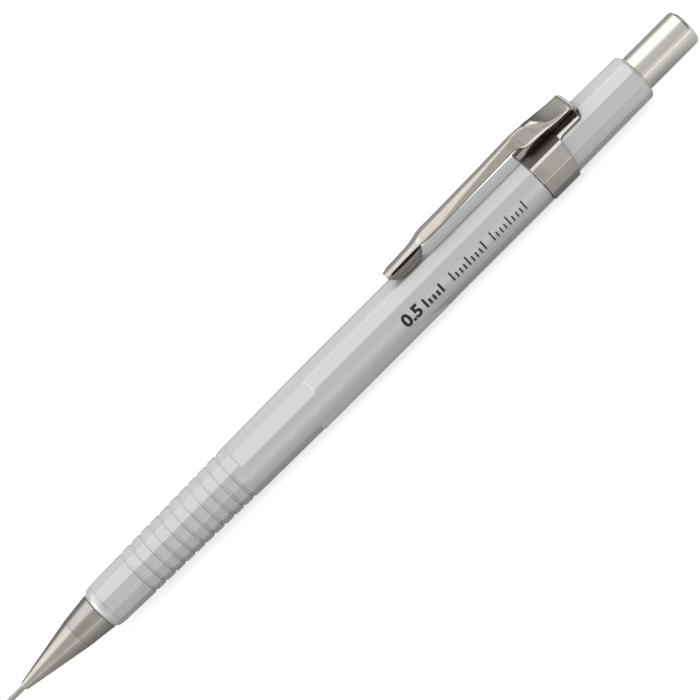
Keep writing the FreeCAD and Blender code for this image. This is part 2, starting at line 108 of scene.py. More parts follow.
def table(x, rows):
    """Look x up in rows of (x, values...), with straight lines between them."""
    if x <= rows[0][0]:
        return rows[0][1:]
    for before, after in zip(rows, rows[1:]):
        if x <= after[0]:
            share = (x - before[0]) / (after[0] - before[0])
            return [lerp(a, b, share) for a, b in zip(before[1:], after[1:])]
    return rows[-1][1:]


def around(x, radius, degrees):
    """A point at a distance from the axis, some degrees round from +Z towards -Y."""
    angle = math.radians(degrees)
    return (x, -radius * math.sin(angle), radius * math.cos(angle))


def rounded(corners, steps=5):
    """Replace each (x, y, fillet) corner of a closed outline by an arc of that radius."""
    points = []
    count = len(corners)
    for index, (x, y, fillet) in enumerate(corners):
        here = Vector((x, y))
        before = Vector(corners[index - 1][:2]) - here
        after = Vector(corners[(index + 1) % count][:2]) - here
        if fillet <= 0 or before.length < 1e-6 or after.length < 1e-6:
            points.append((x, y))
            continue
        half = before.angle(after) / 2
        setback = min(fillet / math.tan(half), before.length * 0.49, after.length * 0.49)
        radius = setback * math.tan(half)
        centre = here + (before.normalized() + after.normalized()).normalized() * (
            radius / math.sin(half))
        start = here + before.normalized() * setback - centre
        end = here + after.normalized() * setback - centre
        turn = start.angle_signed(end)
        for step in range(steps + 1):
            arm = start.copy()
            arm.rotate(Matrix.Rotation(-turn * step / steps, 2))
            points.append(tuple(centre + arm))
    return points


def loft(rows, close_rows=False, cap_ends=True):
    """Faces through rows of points, each row a closed ring; returns points and faces."""
    width = len(rows[0])
    points = [point for row in rows for point in row]
    faces = []
    pairs = [(row, row + 1) for row in range(len(rows) - 1)]
    if close_rows:
        pairs.append((len(rows) - 1, 0))
    for a, b in pairs:
        for column in range(width):
            following = (column + 1) % width
            faces.append((a * width + column, a * width + following,
                          b * width + following, b * width + column))
    if cap_ends and not close_rows:
        faces.append(tuple(reversed(range(width))))
        faces.append(tuple(range(len(points) - width, len(points))))
    return points, faces


def make_object(name, points, faces, material, sharp=35):
    """Make a mesh object from points in millimetres, with smooth shading below an angle."""
    mesh = bpy.data.meshes.new(name)
    mesh.from_pydata([Vector(point) * MM for point in points], [], faces)
    made = bmesh.new()
    made.from_mesh(mesh)
    bmesh.ops.remove_doubles(made, verts=made.verts, dist=1e-7)
    bmesh.ops.dissolve_degenerate(made, edges=made.edges, dist=1e-8)
    bmesh.ops.recalc_face_normals(made, faces=made.faces)
    made.to_mesh(mesh)
    made.free()
    mesh.polygons.foreach_set("use_smooth", [True] * len(mesh.polygons))
    mesh.set_sharp_from_angle(angle=math.radians(sharp))
    mesh.materials.append(material)
    piece = bpy.data.objects.new(name, mesh)
    bpy.context.collection.objects.link(piece)
    return piece


def even_normals(piece):
    """Keep the shading of broad flat faces flat where they meet narrow rounded ones."""
    weighted = piece.modifiers.new("even_normals", "WEIGHTED_NORMAL")
    weighted.keep_sharp = True


def lathe(name, corners, material, segments=128, steps=5):
    """Turn a closed outline of (x, radius, fillet) corners about the pencil's axis."""
    outline = rounded(corners, steps)
    rows = [[around(x, max(radius, 0), 360 * turn / segments) for turn in range(segments)]
            for x, radius in outline]
    points, faces = loft(rows, close_rows=True)
    piece = make_object(name, points, faces, material)
    even_normals(piece)
    return piece


# ---- Materials ----------------------------------------------------------------------------

class Shader:
    """A small helper that wires up one node material."""

    def __init__(self, name, color, roughness, metallic=0.0, **inputs):
        self.material = bpy.data.materials.new(name)
        self.material.use_nodes = True
        self.nodes = self.material.node_tree.nodes
        self.links = self.material.node_tree.links
        self.surface = next(node for node in self.nodes if node.type == "BSDF_PRINCIPLED")
        self.surface.inputs["Base Color"].default_value = (*color, 1)
        self.surface.inputs["Roughness"].default_value = roughness
        self.surface.inputs["Metallic"].default_value = metallic
        for label, value in inputs.items():
            self.surface.inputs[label.replace("_", " ")].default_value = value
        self.color = color
        self.roughness = roughness
        self.place = self.nodes.new("ShaderNodeTexCoord").outputs["Object"]

    def add(self, kind, **settings):
        node = self.nodes.new("ShaderNode" + kind)
        for label, value in settings.items():
            setattr(node, label, value)
        return node

    def link(self, output, target):
        self.links.new(output, target)

    def math(self, operation, first, second=None):
        node = self.add("Math", operation=operation)
        for index, value in enumerate((first, second)):
            if isinstance(value, (int, float)):
                node.inputs[index].default_value = value
            elif value is not None:
                self.link(value, node.inputs[index])
        return node.outputs[0]

    def stretched(self, x, y, z):
        """Object coordinates in millimetres, multiplied along each axis."""
        node = self.add("VectorMath", operation="MULTIPLY")
        self.link(self.place, node.inputs[0])
        node.inputs[1].default_value = (x / MM, y / MM, z / MM)
        return node.outputs[0]

    def unrolled(self, along, across):
        """Coordinates that run along the axis and round it: brushed or turned marks."""
        parts = self.add("SeparateXYZ")
        self.link(self.place, parts.inputs[0])
        angle = self.math("ARCTAN2", parts.outputs["Y"], parts.outputs["Z"])
        joined = self.add("CombineXYZ")
        self.link(self.math("MULTIPLY", parts.outputs["X"], along / MM), joined.inputs["X"])
        self.link(self.math("MULTIPLY", angle, across), joined.inputs["Y"])
        return joined.outputs[0]

    def noise(self, place, scale=1.0, detail=2.0):
        node = self.add("TexNoise")
        node.inputs["Scale"].default_value = scale
        node.inputs["Detail"].default_value = detail
        self.link(place, node.inputs["Vector"])
        return node.outputs["Fac"]

    def remap(self, value, low, high, from_low=0.3, from_high=0.7):
        node = self.add("MapRange")
        self.link(value, node.inputs["Value"])
        node.inputs["From Min"].default_value = from_low
        node.inputs["From Max"].default_value = from_high
        node.inputs["To Min"].default_value = low
        node.inputs["To Max"].default_value = high
        return node.outputs["Result"]

    def vary_color(self, value, low, high):
        """Scale the base colour by a factor that follows value from low to high."""
        node = self.add("VectorMath", operation="SCALE")
        node.inputs[0].default_value = self.color
        self.link(self.remap(value, low, high), node.inputs["Scale"])
        self.link(node.outputs[0], self.surface.inputs["Base Color"])

    def vary_roughness(self, value, spread):
        low, high = self.roughness - spread, self.roughness + spread
        self.link(self.remap(value, low, high), self.surface.inputs["Roughness"])

    def bump(self, value, depth, strength=1.0):
        """Raise the surface by up to depth millimetres."""
        node = self.add("Bump")
        node.inputs["Strength"].default_value = strength
        node.inputs["Distance"].default_value = depth * MM
        self.link(value, node.inputs["Height"])
        if self.surface.inputs["Normal"].links:
            self.link(self.surface.inputs["Normal"].links[0].from_socket,
                      node.inputs["Normal"])
        self.link(node.outputs[0], self.surface.inputs["Normal"])


def pearl_plastic():
    """Light grey moulded plastic with a fine metallic pigment grain."""
    shader = Shader("pearl_plastic", (0.69, 0.70, 0.70), 0.25, metallic=0.44,
                    Specular_IOR_Level=0.45)
    grain = shader.noise(shader.stretched(1, 1, 1), scale=9, detail=3)
    clouds = shader.noise(shader.stretched(0.06, 0.2, 0.2), scale=1, detail=2)
    shader.vary_color(shader.math("ADD", shader.math("MULTIPLY", grain, 0.75),
                                  shader.math("MULTIPLY", clouds, 0.25)), 0.99, 1.01)
    shader.vary_roughness(grain, 0.03)
    shader.bump(grain, 0.00025)
    return shader.material


def groove_wall():
    """The barrel's plastic, darkened and dulled with painted shade for the grooves' walls, with a
    mottled tone.
    """
    shader = Shader("groove_wall", (0.42, 0.42, 0.42), 0.5, metallic=0.1)
    mottle = shader.noise(shader.stretched(1, 0.3, 0.3), scale=2, detail=3)
    shader.vary_color(mottle, 0.8, 1.2)
    shader.vary_roughness(mottle, 0.08)
    shader.bump(mottle, 0.0005)
    return shader.material


def turned_nickel(name="turned_nickel", color=(0.52, 0.495, 0.45), roughness=0.09):
    """Turned metal with satin nickel plating: fine marks round the axis."""
    shader = Shader(name, color, roughness, metallic=1.0)
    marks = shader.noise(shader.unrolled(14, 0.6), scale=1, detail=4)
    haze = shader.noise(shader.stretched(0.35, 0.35, 0.35), scale=1, detail=3)
    shader.vary_color(haze, 0.95, 1.04)
    shader.vary_roughness(marks, 0.03)
    shader.bump(marks, 0.0010)
    return shader.material


def bright_nickel():
    """Polished nickel plating on pressed sheet: soft ripples, haze and fine scratches."""
    shader = Shader("bright_nickel", (0.64, 0.60, 0.55), 0.10, metallic=1.0)
    haze = shader.noise(shader.stretched(0.5, 0.9, 0.9), scale=1, detail=4)
    ripple = shader.noise(shader.stretched(0.35, 0.6, 0.6), scale=1, detail=1)
    scratches = shader.noise(shader.stretched(0.8, 9, 9), scale=1, detail=3)
    shader.vary_color(haze, 0.95, 1.04)
    shader.vary_roughness(haze, 0.04)
    shader.bump(ripple, 0.004)
    shader.bump(scratches, 0.0006)
    return shader.material


def brushed_cap():
    """Stainless steel brushed lengthwise."""
    shader = Shader("brushed_cap", (0.83, 0.79, 0.735), 0.13, metallic=1.0)
    streaks = shader.noise(shader.unrolled(0.12, 26), scale=1, detail=4)
    shader.vary_color(streaks, 0.90, 1.07)
    shader.vary_roughness(streaks, 0.07)
    shader.bump(streaks, 0.003)
    return shader.material


def plain_material(name, color, roughness, metallic=0.0, grain=6, depth=0.002, **inputs):
    """A material with a fine grain in its colour, roughness and height."""
    shader = Shader(name, color, roughness, metallic, **inputs)
    speckle = shader.noise(shader.stretched(1, 1, 1), scale=grain, detail=3)
    shader.vary_color(speckle, 0.93, 1.06)
    shader.vary_roughness(speckle, min(0.06, roughness / 2))
    shader.bump(speckle, depth)
    return shader.material


def label_film():
    """White film label with plain dark bars across its lower half."""
    shader = Shader("label_film", (0.72, 0.73, 0.74), 0.33)
    bars = shader.add("TexWave", wave_type="BANDS", bands_direction="X")
    bars.inputs["Scale"].default_value = 0.42
    bars.inputs["Distortion"].default_value = 3.0
    bars.inputs["Detail"].default_value = 0
    shader.link(shader.stretched(1, 0, 0), bars.inputs["Vector"])
    parts = shader.add("SeparateXYZ")
    shader.link(shader.place, parts.inputs[0])
    angle = shader.math("ARCTAN2", shader.math("MULTIPLY", parts.outputs["Y"], -1),
                        parts.outputs["Z"])
    low_half = shader.math("GREATER_THAN", angle, math.radians(131))
    inside = shader.math("LESS_THAN", angle, math.radians(160))
    dark = shader.math("GREATER_THAN", bars.outputs["Fac"], 0.62)
    ink = shader.math("MULTIPLY", shader.math("MULTIPLY", low_half, inside), dark)
    mix = shader.add("Mix", data_type="RGBA")
    shader.link(ink, mix.inputs["Factor"])
    mix.inputs[6].default_value = (*shader.color, 1)
    mix.inputs[7].default_value = (0.03, 0.03, 0.035, 1)
    shader.link(mix.outputs[2], shader.surface.inputs["Base Color"])
    return shader.material


PEARL = pearl_plastic()
NICKEL = turned_nickel()
CLIP_METAL = bright_nickel()
# Near-black nickel: painted shade for the clip's cavity, the arm's lower edge, the web and the band
# under the roof
CLIP_PAINTED_SHADE = plain_material("painted_shade_nickel", (0.13, 0.12, 0.11), 0.34, metallic=1.0)
# Darker nickel for the foot: painted shade
CLIP_FOOT_PAINTED_SHADE = plain_material("shaded_nickel", (0.30, 0.275, 0.25), 0.22, metallic=1.0)
CAP_METAL = brushed_cap()
PIPE_STEEL = turned_nickel("pipe_steel", (0.50, 0.48, 0.45), 0.20)
BRASS = turned_nickel("turned_brass", (0.72, 0.52, 0.24), 0.26)
FERRULE = turned_nickel("spun_aluminium", (0.76, 0.76, 0.76), 0.30)
SPRING_STEEL = turned_nickel("spring_steel", (0.58, 0.58, 0.60), 0.22)
ACETAL = plain_material("white_acetal", (0.78, 0.78, 0.76), 0.42)
TUBE = plain_material("frosted_tube", (0.80, 0.81, 0.80), 0.38, Subsurface_Weight=0.2,
                      Subsurface_Scale=0.001)
RUBBER = plain_material("black_rubber", (0.025, 0.025, 0.025), 0.62, depth=0.006)
ERASER = plain_material("white_eraser", (0.84, 0.84, 0.82), 0.72, grain=3, depth=0.012)
GRAPHITE = plain_material("graphite", (0.035, 0.035, 0.038), 0.34, metallic=0.35)
INK = plain_material("black_ink", (0.012, 0.012, 0.014), 0.38, grain=20, depth=0.001)
FILM = label_film()
# Painted shade for the walls of the grip grooves
GROOVE_PAINTED_SHADE = groove_wall()


# ---- Barrel -------------------------------------------------------------------------------

# Circumradius of the twelve-sided outline along the pencil
OUTLINE = [(19.9, 3.74), (21.6, 3.80), (27.92, 3.965), (47.99, 4.351), (50.5, 4.45),
           (66, 4.60), (111, 4.60)]
NECK = [(111, 4.30), (117, 4.28), (131.6, 4.12), (132.75, 4.11)]
EDGE_FILLET = 0.55
GROOVES = 11
GROOVE_FIRST = 27.92
GROOVE_PITCH = 2.007
GROOVE_WIDTH = 0.56
GROOVE_WALL = 0.12
GROOVE_DEPTH = 0.18
# Angle from +Z past which the grooves' walls get painted shade
GROOVE_SHADE_FROM = 45
PANEL = (50.1, 65.7)
PANEL_DEPTH = 0.15
ROUND_SIDE = (45, 105)
ROUND_START = 49.3
SHOULDER = 111.0
CHAMFER = 0.95
BORES = [(113.0, 3.2), (113.0, 2.3), (26.5, 2.3), (26.5, 2.85)]
FAR = 99.0


def facet_angles():
    """Angles of the points round the barrel, closer together near each edge."""
    offsets = (-15, -14.3, -13.5, -12.6, -11, -8.8, -7.5, -3, 3, 7.5, 11, 12.6, 13.5, 14.3)
    return [side * FACET + offset for side in range(SIDES) for offset in offsets]


def facet_radius(circumradius, degrees):
    """Distance from the axis to a twelve-sided outline with rounded edges."""
    offset = (degrees + HALF_FACET) % FACET - HALF_FACET
    flat = circumradius * math.cos(math.radians(HALF_FACET))
    half = math.radians(HALF_FACET)
    centre = (flat - EDGE_FILLET) / math.cos(half)
    from_edge = half - abs(math.radians(offset))
    limit = half - math.atan2((flat - EDGE_FILLET) * math.tan(half), flat)
    if from_edge >= limit:
        return flat / math.cos(math.radians(offset))
    sideways = centre * math.sin(from_edge)
    return centre * math.cos(from_edge) + math.sqrt(EDGE_FILLET ** 2 - sideways ** 2)


def groove_depth(x):
    """How far the outline steps in at x for the nearest grip groove."""
    index = round((x - GROOVE_FIRST - GROOVE_WIDTH / 2) / GROOVE_PITCH)
    if not 0 <= index < GROOVES:
        return 0
    start = GROOVE_FIRST + index * GROOVE_PITCH
    end = start + GROOVE_WIDTH
    return GROOVE_DEPTH * smooth_share(start, start + GROOVE_WALL, x) * smooth_share(
        -end, GROOVE_WALL - end, -x)


def barrel_point(x, circumradius, limit, degrees):
    """Outer surface of the barrel: facets, rounded side, panel, grooves and a round limit."""
    radius = facet_radius(circumradius - groove_depth(x), degrees)
    wrapped = (degrees + 180) % 360 - 180
    if ROUND_SIDE[0] <= wrapped <= ROUND_SIDE[1] and x <= SHOULDER:
        share = smooth_share(ROUND_START - 0.5, ROUND_START + 0.1, x)
        radius = lerp(radius, circumradius - 0.02, share)
    deep = smooth_share(PANEL[0], PANEL[0] + 0.12, x) * smooth_share(
        -PANEL[1], -PANEL[1] + 0.12, -x)
    if deep and -FACET <= wrapped <= 2 * FACET:
        facet = 0 if wrapped < HALF_FACET else FACET
        floor = circumradius * math.cos(math.radians(HALF_FACET)) - PANEL_DEPTH * deep
        radius = min(radius, floor / math.cos(math.radians(wrapped - facet)))
    return around(x, soft_min(radius, limit, 0.02), degrees)


def barrel_rows():
    """(x, circumradius, round limit) of each ring of points on the outside, tip to cap."""
    rows = [(19.9, 3.8, 2.86), (19.9, 3.8, 3.02), (19.92, 3.8, 3.07), (20.0, 3.8, 3.16),
            (20.3, 3.8, 3.42), (20.6, 3.8, 3.59), (20.9, 3.8, 3.68), (21.42, 3.8, 3.76),
            (21.46, 3.8, 3.62), (21.56, 3.8, 3.62), (21.6, 3.8, 3.92)]
    stations = [21.9, 22.5, 24, 26, 27.2, 49.1, 49.4, 50.0, 50.1, 50.13, 50.16, 50.19, 50.22,
                50.26, 54, 58, 62, 64, 65.54, 65.58, 65.61, 65.64, 65.67, 65.7, 66, 75, 85,
                95, 105, 110.5]
    for index in range(GROOVES):
        start = GROOVE_FIRST + index * GROOVE_PITCH
        end = start + GROOVE_WIDTH
        for share in (0, 0.12, 0.3, 0.5, 0.7, 0.88, 1):
            stations += [start + share * GROOVE_WALL, end - share * GROOVE_WALL]
        stations += [start - 0.04, start + GROOVE_WIDTH / 2, end + 0.04]
    for x in sorted(stations):
        rows.append((x, table(x, OUTLINE)[0], FAR))
    rows += [(SHOULDER - 0.12, 4.60, FAR), (SHOULDER - 0.05, 4.585, FAR),
             (SHOULDER, 4.53, FAR), (SHOULDER, 4.05, FAR), (SHOULDER + 0.32, 4.05, FAR),
             (SHOULDER + 0.34, 4.30, FAR)]
    rows += [(x, table(x, NECK)[0], FAR) for x in (113, 117, 122, 127, 131.2)]
    last = span("barrel")[1]
    for step in range(9):
        turn = math.radians(90 * step / 8)
        rows.append((last - CHAMFER * (1 - math.sin(turn)), 4.12,
                     3.28 + (4.14 - 3.28) * math.cos(turn)))
    rows.append((last, 4.12, 3.21))
    return rows


def on_shaded_groove_wall(place):
    """Whether a point of the barrel's outside is on a groove's wall, away from the clip's side, where
    the painted shade goes.
    """
    turned = math.degrees(math.atan2(abs(place.y), place.z))
    depth = groove_depth(place.x) / GROOVE_DEPTH
    outside = math.hypot(place.y, place.z) > BORES[0][1]
    return outside and GROOVE_SHADE_FROM < turned and 0.02 < depth < 0.98


def make_barrel():
    angles = facet_angles()
    rows = [[barrel_point(x, size, limit, angle) for angle in angles]
            for x, size, limit in barrel_rows()]
    rows += [[around(x, radius, angle) for angle in angles] for x, radius in BORES]
    points, faces = loft(rows, close_rows=True)
    barrel = make_object("barrel_shell", points, faces, PEARL, sharp=40)
    barrel.data.materials.append(GROOVE_PAINTED_SHADE)
    # Painted shade on the grooves' walls of the lower facets
    for face in barrel.data.polygons:
        if on_shaded_groove_wall(face.center / MM):
            face.material_index = 1
    even_normals(barrel)
    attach(barrel, "barrel")
    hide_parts("barrel")


# ---- Marks printed on the rounded side, and the label -------------------------------------

MARK_MIDDLE = 75
MARK_LIFT = 0.008
INK_THICKNESS = 0.02


def wrap_flat(name, made, first_x, base_line, material):
    """Bend a flat bmesh, x along the pencil and y up the side, round the barrel as thin ink."""
    low = min(vert.co.y for vert in made.verts)
    high = max(vert.co.y for vert in made.verts)
    step = 0.2
    cuts = int((high - low) / step)
    for index in range(1, cuts + 1):
        geometry = made.verts[:] + made.edges[:] + made.faces[:]
        bmesh.ops.bisect_plane(made, geom=geometry, dist=1e-6,
                               plane_co=(0, low + index * step, 0), plane_no=(0, 1, 0))
    grown = bmesh.ops.extrude_face_region(made, geom=made.faces[:])
    for item in grown["geom"]:
        if isinstance(item, bmesh.types.BMVert):
            item.co.z = INK_THICKNESS
    radius = table(first_x, OUTLINE)[0] - 0.02
    for vert in made.verts:
        degrees = MARK_MIDDLE - math.degrees((vert.co.y - base_line) / radius)
        lifted = radius + vert.co.z - INK_THICKNESS + MARK_LIFT
        vert.co = Vector(around(first_x + vert.co.x, lifted, degrees)) * MM
    bmesh.ops.recalc_face_normals(made, faces=made.faces)
    mesh = bpy.data.meshes.new(name)
    made.to_mesh(mesh)
    made.free()
    mesh.materials.append(material)
    piece = bpy.data.objects.new(name, mesh)
    bpy.context.collection.objects.link(piece)
    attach(piece, "barrel")


def make_size_mark():
    """The lead size in plain figures."""
    curve = bpy.data.curves.new("size_figures", "FONT")
    curve.body = "0.5"
    curve.size = 2.85
    curve.offset = 0.11
    curve.resolution_u = 8
    figures = bpy.data.objects.new("size_figures_flat", curve)
    bpy.context.collection.objects.link(figures)
    bpy.context.view_layer.update()
    flat = bpy.data.meshes.new_from_object(figures)
    bpy.data.objects.remove(figures)
    made = bmesh.new()
    made.from_mesh(flat)
    bmesh.ops.remove_doubles(made, verts=made.verts, dist=1e-5)
    wrap_flat("size_figures", made, 82.0, 0.97, INK)


def make_scale_marks():
    """Plain tick marks, a generic stand-in for printed words."""
    made = bmesh.new()
    groups = [(0.0, 5, 0.82, 0.42), (5.6, 9, 0.82, 0.30), (14.0, 9, 0.82, 0.26)]
    for start, count, pitch, width in groups:
        for index in range(count):
            height = 1.7 if index % 4 == 0 else 1.05
            left = start + index * pitch
            corners = [(left, 0), (left + width, 0), (left + width, height), (left, height)]
            made.faces.new([made.verts.new((x, y, 0)) for x, y in corners])
    wrap_flat("scale_marks", made, 86.2, 0.97, INK)


def make_label():
    """Thin film over two facets, its cap end cut at a slant with a round corner."""
    start, end = span("blank_label")
    bottom = 164.5
    top = 105.5
    rows = []
    for step in range(49):
        x = lerp(start, end, step / 48)
        drop = 34 * smooth_share(end - 7.5, end, x) ** 1.3 + 6 * smooth_share(
            -start - 0.9, -start, -x)
        angles = [lerp(top + drop, bottom, share / 16) for share in range(17)]
        radius = table(x, OUTLINE)[0]
        outer = [around(x, facet_radius(radius, angle) + 0.05, angle) for angle in angles]
        inner = [around(x, facet_radius(radius, angle) - 0.02, angle)
                 for angle in reversed(angles)]
        rows.append(outer + inner)
    points, faces = loft(rows)
    label = make_object("film_label", points, faces, FILM)
    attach(label, "barrel")
    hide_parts("blank_label")


# ---- Turned pieces ------------------------------------------------------------------------

PIPE_RADIUS = 0.44
PIPE_ROOT = 0.70
CAP_STEP = 132.8
CAP_SKIRT = 2.95


def make_cone():
    start, end = span("front_cone")
    thread = []
    for turn in range(6):
        foot = 20.5 + turn * 0.75
        thread += [(foot, 2.5, 0.03), (foot + 0.375, 2.78, 0.05)]
    corners = [
        (start, PIPE_RADIUS + 0.01, 0), (start, 0.71, 0.12), (15.2, 2.735, 0.02), (15.23, 2.66, 0),
        (15.33, 2.66, 0), (15.36, 2.755, 0.02), (19.9, 3.27, 0.05), (19.9, 2.5, 0), *thread,
        (25.0, 2.5, 0.03), (end, 2.5, 0.15), (end, 2.26, 0), (16.6, 2.26, 0), (16.6, 1.83, 0),
        (13.56, 1.83, 0), (13.56, 1.46, 0), (9.9, 1.46, 0), (9.9, 0.86, 0), (7.4, 0.86, 0),
        (7.4, PIPE_ROOT + 0.01, 0), (7.2, PIPE_ROOT + 0.01, 0),
    ]
    cone = lathe("cone_shell", corners, NICKEL, segments=160)
    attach(cone, "front_cone")
    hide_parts("front_cone")


def make_pipe():
    start, end = span("lead_pipe")
    nose = span("front_cone")[0]
    corners = [(start, 0.31, 0.03), (start, PIPE_RADIUS, 0.05), (nose, PIPE_RADIUS, 0),
               (end, PIPE_ROOT, 0), (end, 0.31, 0)]
    pipe = lathe("guide_pipe", corners, PIPE_STEEL, segments=64)
    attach(pipe, "tip")
    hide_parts("lead_pipe")


def make_cap():
    start, end = span("push_cap")
    radius = reach("push_cap")
    corners = [
        (start, 2.75, 0.05), (start, CAP_SKIRT, 0.1), (CAP_STEP, CAP_SKIRT, 0),
        (CAP_STEP, radius, 0.04), (end, radius, 0.72), (end, 0, 0),
        (end - 0.4, 0, 0), (end - 0.4, 2.75, 0.4),
    ]
    cap = lathe("cap_shell", corners, CAP_METAL, segments=160, steps=10)
    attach(cap, "cap")
    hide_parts("push_cap")


def make_spring():
    """Round wire on a helix, with the end turns close together and flat."""
    low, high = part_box("return_spring")
    wire = 0.15
    first, last = low[0] / MM + wire, high[0] / MM - wire
    radius = high[1] / MM - wire
    turns = 12
    steps = 40 * turns
    rows = []
    for step in range(steps + 1):
        turn = step / 40
        share = (smooth_share(0, turns, turn) * 0.12 + turn / turns * 0.88)
        angle = 360 * turn
        x = lerp(first, last, share)
        ring = []
        for side in range(10):
            swing = math.radians(36 * side)
            ring.append(around(x + wire * math.sin(swing), radius + wire * math.cos(swing),
                               angle))
        rows.append(ring)
    points, faces = loft(rows)
    spring = make_object("spring_coil", points, faces, SPRING_STEEL)
    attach(spring, "barrel")
    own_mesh(spring)
    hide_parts("return_spring")


def make_eraser():
    """A stub of white rubber with a slightly worn, domed end."""
    start, end = span("eraser")
    radius = reach("eraser")
    corners = [(start, 0, 0), (start, radius, 0), (end - 0.25, radius, 0.5), (end, 1.2, 0.8),
               (end, 0, 0)]
    eraser = lathe("eraser_stub", corners, ERASER, segments=96, steps=8)
    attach(eraser, "eraser_unit")
    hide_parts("eraser")


def make_ferrule():
    """Spun cup with a rolled lip and one bead, on the plug that holds the clean-out pin."""
    start, end = span("eraser_ferrule")
    radius = reach("eraser_ferrule")
    corners = [
        (start, 0.2, 0), (start, 1.97, 0.15), (131, 1.97, 0), (131, radius, 0.12),
        (133.4, radius, 0.1), (133.55, radius - 0.08, 0.1), (133.85, radius - 0.08, 0.1),
        (134.0, radius, 0.1), (end, radius, 0.07), (end, 2.31, 0.05), (131.6, 2.31, 0),
        (131.6, 0, 0), (129, 0, 0), (129, 0.2, 0),
    ]
    ferrule = lathe("ferrule_cup", corners, FERRULE, segments=96)
    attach(ferrule, "eraser_unit")
    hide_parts("eraser_ferrule")


# ---- Pocket clip: one folded sheet --------------------------------------------------------

SHEET = 0.34
EDGE_CURL = 0.13
ROOF_START = 112.3
# Columns of the arm's faces, from each side, that get painted shade as a dark line along the edge
RIM_COLUMNS = 5
ARM_STEPS = 230
FOLD_STEPS = 24
ARM_START = 85.0
# x, then half-width and height of the edge, the side's break, the crest, and the mid height
ARM = [
    (85.0, 0.92, 6.10, 0.97, 6.50, 0.34, 6.97, 6.97),
    (85.5, 1.00, 6.30, 0.99, 6.62, 0.34, 6.98, 6.98),
    (85.9, 1.02, 6.76, 0.85, 6.88, 0.34, 7.00, 7.00),
    (88.0, 1.02, 6.82, 0.85, 6.92, 0.34, 7.06, 7.06),
    (90.5, 1.10, 6.93, 0.88, 7.06, 0.40, 7.25, 7.25),
    (91.7, 1.30, 7.02, 1.00, 7.22, 0.46, 7.44, 7.44),
    (92.3, 1.48, 7.08, 1.10, 7.36, 0.49, 7.68, 7.68),
    (92.9, 1.66, 7.13, 1.20, 7.44, 0.50, 7.86, 7.86),
    (93.8, 1.74, 7.15, 1.30, 7.45, 0.50, 7.93, 7.93),
    (96.5, 1.74, 7.15, 1.40, 7.38, 0.49, 7.97, 7.97),
    (99.0, 1.68, 7.15, 1.33, 7.50, 0.48, 8.02, 8.02),
    (106.0, 1.55, 7.22, 0.88, 7.97, 0.46, 8.18, 8.18),
    (111.2, 1.45, 7.24, 0.68, 8.30, 0.43, 8.40, 8.40),
    (111.8, 1.50, 7.18, 0.68, 8.35, 0.42, 8.47, 8.47),
    (112.4, 1.92, 6.93, 1.66, 7.04, 0.40, 8.55, 8.55),
    (112.9, 2.28, 6.66, 1.98, 6.79, 0.38, 8.55, 8.55),
    (114.0, 2.42, 6.58, 2.06, 6.72, 0.36, 8.43, 8.43),
    (114.8, 2.44, 6.56, 2.08, 6.69, 0.42, 8.32, 8.32),
    (115.8, 2.46, 6.52, 2.10, 6.65, 1.00, 7.86, 7.78),
    (116.7, 2.48, 6.46, 2.14, 6.58, 1.45, 7.36, 7.22),
    (117.7, 2.48, 6.38, 2.25, 6.46, 1.95, 6.90, 6.78),
    (118.6, 2.48, 6.26, 2.30, 6.33, 2.15, 6.62, 6.54),
    (119.5, 2.48, 6.18, 2.35, 6.22, 2.25, 6.40, 6.36),
    (120.3, 2.47, 6.12, 2.38, 6.14, 2.30, 6.23, 6.22),
    (121.0, 2.46, 6.08, 2.38, 6.09, 2.30, 6.12, 6.12),
]
FOLD_X = 121.57
FOLD_Z = 5.15
FOLD_RADIUS = 0.96
# Half-width of the leg under the roof, which flares where it meets the band
LEG = [(116.2, 3.20), (116.9, 3.10), (117.4, 2.70), (118.2, 2.44), (121.3, 2.42)]
LEG_FLAT = 1.16
LEG_END = 116.2


def cross_section(curl, edge_half, edge, break_half, side_break, crest_half, crest, middle):
    """Upper side of the sheet across the arm, from the -Y edge to the +Y edge."""
    half = [(edge_half - curl, edge - 2 * curl), (edge_half, edge),
            (break_half, side_break), (crest_half, crest),
            (crest_half * 0.55, lerp(crest, middle, 0.75)), (0, middle)]
    line = [(-y, z) for y, z in half] + list(reversed(half[:-1]))
    for cut in (0.16, 0.28):
        softer = [line[0]]
        for (ay, az), (by, bz) in zip(line, line[1:]):
            softer.append((lerp(ay, by, cut), lerp(az, bz, cut)))
            softer.append((lerp(ay, by, 1 - cut), lerp(az, bz, 1 - cut)))
        line = softer + [line[-1]]
    return line


def arm_sections():
    """Cross-sections of the arm, roof, fold and leg, as rows of (x, y, z)."""
    rows = []
    for step in range(ARM_STEPS + 1):
        x = lerp(ARM_START, ARM[-1][0], step / ARM_STEPS)
        window = [table(min(max(x + shift, ARM_START), ARM[-1][0]), ARM)
                  for shift in (-0.24, -0.12, 0, 0.12, 0.24)]
        values = [sum(column) / len(window) for column in zip(*window)]
        curl = EDGE_CURL * (1 - 0.9 * smooth_share(118.5, 120.8, x))
        rows.append([(x, y, z) for y, z in cross_section(curl, *values)])
    last = len(rows[0]) - 1
    flat = [lerp(-1, 1, index / last) for index in range(last + 1)]
    for step in range(1, FOLD_STEPS + 1):
        turn = math.radians(lerp(0, 180, step / FOLD_STEPS))
        x = FOLD_X + FOLD_RADIUS * math.sin(turn)
        z = FOLD_Z + FOLD_RADIUS * math.cos(turn)
        half = lerp(ARM[-1][1], LEG[-1][1], step / FOLD_STEPS) - 0.22 * smooth_share(
            0.3, 1, math.sin(turn))
        rows.append(leg_row(x, z, half, flat, smooth_share(0.35, 0.9, step / FOLD_STEPS)))
    low = FOLD_Z - FOLD_RADIUS
    for step in range(1, FOLD_STEPS + 1):
        x = lerp(FOLD_X, LEG_END, step / FOLD_STEPS)
        rows.append(leg_row(x, low, table(x, LEG)[0], flat, 1))
    return rows


